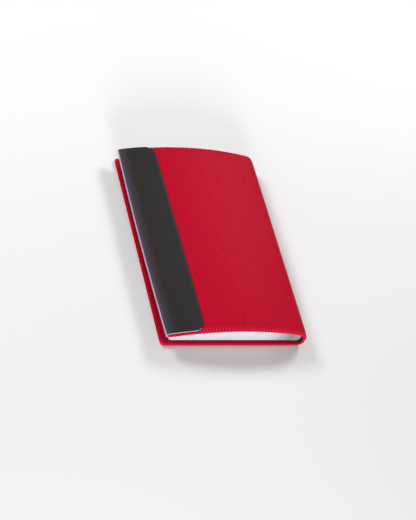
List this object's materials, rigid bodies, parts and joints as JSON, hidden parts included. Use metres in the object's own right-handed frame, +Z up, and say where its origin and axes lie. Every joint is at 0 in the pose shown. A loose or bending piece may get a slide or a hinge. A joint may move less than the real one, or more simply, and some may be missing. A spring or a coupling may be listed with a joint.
{
  "type": "trading card binder",
  "caption": "Book-style trading card binder with an arched padded cover in ribbed cloth, a smooth band along the fore-edge, a rounded spine and bound pocket leaves.",
  "frame": {"origin": "centre of the closed binder's footprint, on the surface it lies on", "axes": "+X towards the spine, +Y towards the head edge, +Z up through the closed binder"},
  "size_m": [0.19, 0.26, 0.0363],
  "materials": {
    "ribbed_fabric": "ribbed satin",
    "foam": "matt foam",
    "stiffener": "matt",
    "lining": "brushed microfibre",
    "band_core": "satin",
    "band_face": "smooth satin",
    "page_film": "satin film",
    "binding": "matt",
    "thread": "twisted"
  },
  "bodies": {
    "back": {"back_fabric": "ribbed_fabric", "back_foam": "foam", "back_board": "stiffener", "back_lining": "lining"},
    "spine": {"spine_fabric": "ribbed_fabric", "spine_foam": "foam", "spine_stiffener": "stiffener", "spine_lining": "lining", "leaf_margins": "page_film", "binding_strip": "binding", "binding_thread": "thread"},
    "front": {"front_fabric": "ribbed_fabric", "front_foam": "foam", "front_board": "stiffener", "front_lining": "lining", "band_core": "band_core", "band_face": "band_face"},
    "leaf_01": {"leaf_01": "page_film"},
    "leaf_02": {"leaf_02": "page_film"},
    "leaf_03": {"leaf_03": "page_film"},
    "leaf_04": {"leaf_04": "page_film"},
    "leaf_05": {"leaf_05": "page_film"},
    "leaf_06": {"leaf_06": "page_film"},
    "leaf_07": {"leaf_07": "page_film"},
    "leaf_08": {"leaf_08": "page_film"},
    "leaf_09": {"leaf_09": "page_film"},
    "leaf_10": {"leaf_10": "page_film"},
    "leaf_11": {"leaf_11": "page_film"},
    "leaf_12": {"leaf_12": "page_film"},
    "leaf_13": {"leaf_13": "page_film"},
    "leaf_14": {"leaf_14": "page_film"},
    "leaf_15": {"leaf_15": "page_film"},
    "leaf_16": {"leaf_16": "page_film"},
    "leaf_17": {"leaf_17": "page_film"},
    "leaf_18": {"leaf_18": "page_film"},
    "leaf_19": {"leaf_19": "page_film"},
    "leaf_20": {"leaf_20": "page_film"}
  },
  "joints": [
    {"name": "spine_hinge", "type": "hinge", "parent": "back", "child": "spine", "pos_m": [0.09236, 0, 0.00264], "axis": [0, 1, 0], "range_deg": [0, 86]},
    {"name": "front_hinge", "type": "hinge", "parent": "spine", "child": "front", "pos_m": [0.08973, 0, 0.02339], "axis": [0, 1, 0], "range_deg": [0, 86]},
    {"name": "leaf_01_fold", "type": "hinge", "parent": "spine", "child": "leaf_01", "pos_m": [0.077, 0, 0.00531], "axis": [0, 1, 0], "range_deg": [-90, 0]},
    {"name": "leaf_02_fold", "type": "hinge", "parent": "spine", "child": "leaf_02", "pos_m": [0.077, 0, 0.00613], "axis": [0, 1, 0], "range_deg": [-81.58, 0]},
    {"name": "leaf_03_fold", "type": "hinge", "parent": "spine", "child": "leaf_03", "pos_m": [0.077, 0, 0.00695], "axis": [0, 1, 0], "range_deg": [-73.16, 0]},
    {"name": "leaf_04_fold", "type": "hinge", "parent": "spine", "child": "leaf_04", "pos_m": [0.077, 0, 0.00777], "axis": [0, 1, 0], "range_deg": [-64.74, 0]},
    {"name": "leaf_05_fold", "type": "hinge", "parent": "spine", "child": "leaf_05", "pos_m": [0.077, 0, 0.00859], "axis": [0, 1, 0], "range_deg": [-56.32, 0]},
    {"name": "leaf_06_fold", "type": "hinge", "parent": "spine", "child": "leaf_06", "pos_m": [0.077, 0, 0.00941], "axis": [0, 1, 0], "range_deg": [-47.9, 0]},
    {"name": "leaf_07_fold", "type": "hinge", "parent": "spine", "child": "leaf_07", "pos_m": [0.077, 0, 0.01023], "axis": [0, 1, 0], "range_deg": [-39.47, 0]},
    {"name": "leaf_08_fold", "type": "hinge", "parent": "spine", "child": "leaf_08", "pos_m": [0.077, 0, 0.01105], "axis": [0, 1, 0], "range_deg": [-31.05, 0]},
    {"name": "leaf_09_fold", "type": "hinge", "parent": "spine", "child": "leaf_09", "pos_m": [0.077, 0, 0.01187], "axis": [0, 1, 0], "range_deg": [-22.63, 0]},
    {"name": "leaf_10_fold", "type": "hinge", "parent": "spine", "child": "leaf_10", "pos_m": [0.077, 0, 0.01269], "axis": [0, 1, 0], "range_deg": [-14.21, 0]},
    {"name": "leaf_11_fold", "type": "hinge", "parent": "spine", "child": "leaf_11", "pos_m": [0.077, 0, 0.01351], "axis": [0, 1, 0], "range_deg": [-5.79, 0]},
    {"name": "leaf_12_fold", "type": "hinge", "parent": "spine", "child": "leaf_12", "pos_m": [0.077, 0, 0.01433], "axis": [0, 1, 0], "range_deg": [0, 2.63]},
    {"name": "leaf_13_fold", "type": "hinge", "parent": "spine", "child": "leaf_13", "pos_m": [0.077, 0, 0.01515], "axis": [0, 1, 0], "range_deg": [0, 11.05]},
    {"name": "leaf_14_fold", "type": "hinge", "parent": "spine", "child": "leaf_14", "pos_m": [0.077, 0, 0.01597], "axis": [0, 1, 0], "range_deg": [0, 19.47]},
    {"name": "leaf_15_fold", "type": "hinge", "parent": "spine", "child": "leaf_15", "pos_m": [0.077, 0, 0.01679], "axis": [0, 1, 0], "range_deg": [0, 27.9]},
    {"name": "leaf_16_fold", "type": "hinge", "parent": "spine", "child": "leaf_16", "pos_m": [0.077, 0, 0.01761], "axis": [0, 1, 0], "range_deg": [0, 36.32]},
    {"name": "leaf_17_fold", "type": "hinge", "parent": "spine", "child": "leaf_17", "pos_m": [0.077, 0, 0.01843], "axis": [0, 1, 0], "range_deg": [0, 44.74]},
    {"name": "leaf_18_fold", "type": "hinge", "parent": "spine", "child": "leaf_18", "pos_m": [0.077, 0, 0.01925], "axis": [0, 1, 0], "range_deg": [0, 53.16]},
    {"name": "leaf_19_fold", "type": "hinge", "parent": "spine", "child": "leaf_19", "pos_m": [0.077, 0, 0.02007], "axis": [0, 1, 0], "range_deg": [0, 61.58]},
    {"name": "leaf_20_fold", "type": "hinge", "parent": "spine", "child": "leaf_20", "pos_m": [0.077, 0, 0.02089], "axis": [0, 1, 0], "range_deg": [0, 70]}
  ],
  "couplings": [
    {"joint": "front_hinge", "follows": "spine_hinge", "ratio": 1},
    {"joint": "leaf_01_fold", "follows": "spine_hinge", "ratio": -1.0465},
    {"joint": "leaf_02_fold", "follows": "spine_hinge", "ratio": -0.94859},
    {"joint": "leaf_03_fold", "follows": "spine_hinge", "ratio": -0.85067},
    {"joint": "leaf_04_fold", "follows": "spine_hinge", "ratio": -0.75275},
    {"joint": "leaf_05_fold", "follows": "spine_hinge", "ratio": -0.65483},
    {"joint": "leaf_06_fold", "follows": "spine_hinge", "ratio": -0.55692},
    {"joint": "leaf_07_fold", "follows": "spine_hinge", "ratio": -0.459},
    {"joint": "leaf_08_fold", "follows": "spine_hinge", "ratio": -0.36108},
    {"joint": "leaf_09_fold", "follows": "spine_hinge", "ratio": -0.26316},
    {"joint": "leaf_10_fold", "follows": "spine_hinge", "ratio": -0.16524},
    {"joint": "leaf_11_fold", "follows": "spine_hinge", "ratio": -0.06732},
    {"joint": "leaf_12_fold", "follows": "spine_hinge", "ratio": 0.0306},
    {"joint": "leaf_13_fold", "follows": "spine_hinge", "ratio": 0.12852},
    {"joint": "leaf_14_fold", "follows": "spine_hinge", "ratio": 0.22644},
    {"joint": "leaf_15_fold", "follows": "spine_hinge", "ratio": 0.32436},
    {"joint": "leaf_16_fold", "follows": "spine_hinge", "ratio": 0.42228},
    {"joint": "leaf_17_fold", "follows": "spine_hinge", "ratio": 0.52019},
    {"joint": "leaf_18_fold", "follows": "spine_hinge", "ratio": 0.61811},
    {"joint": "leaf_19_fold", "follows": "spine_hinge", "ratio": 0.71603},
    {"joint": "leaf_20_fold", "follows": "spine_hinge", "ratio": 0.81395}
  ]
}
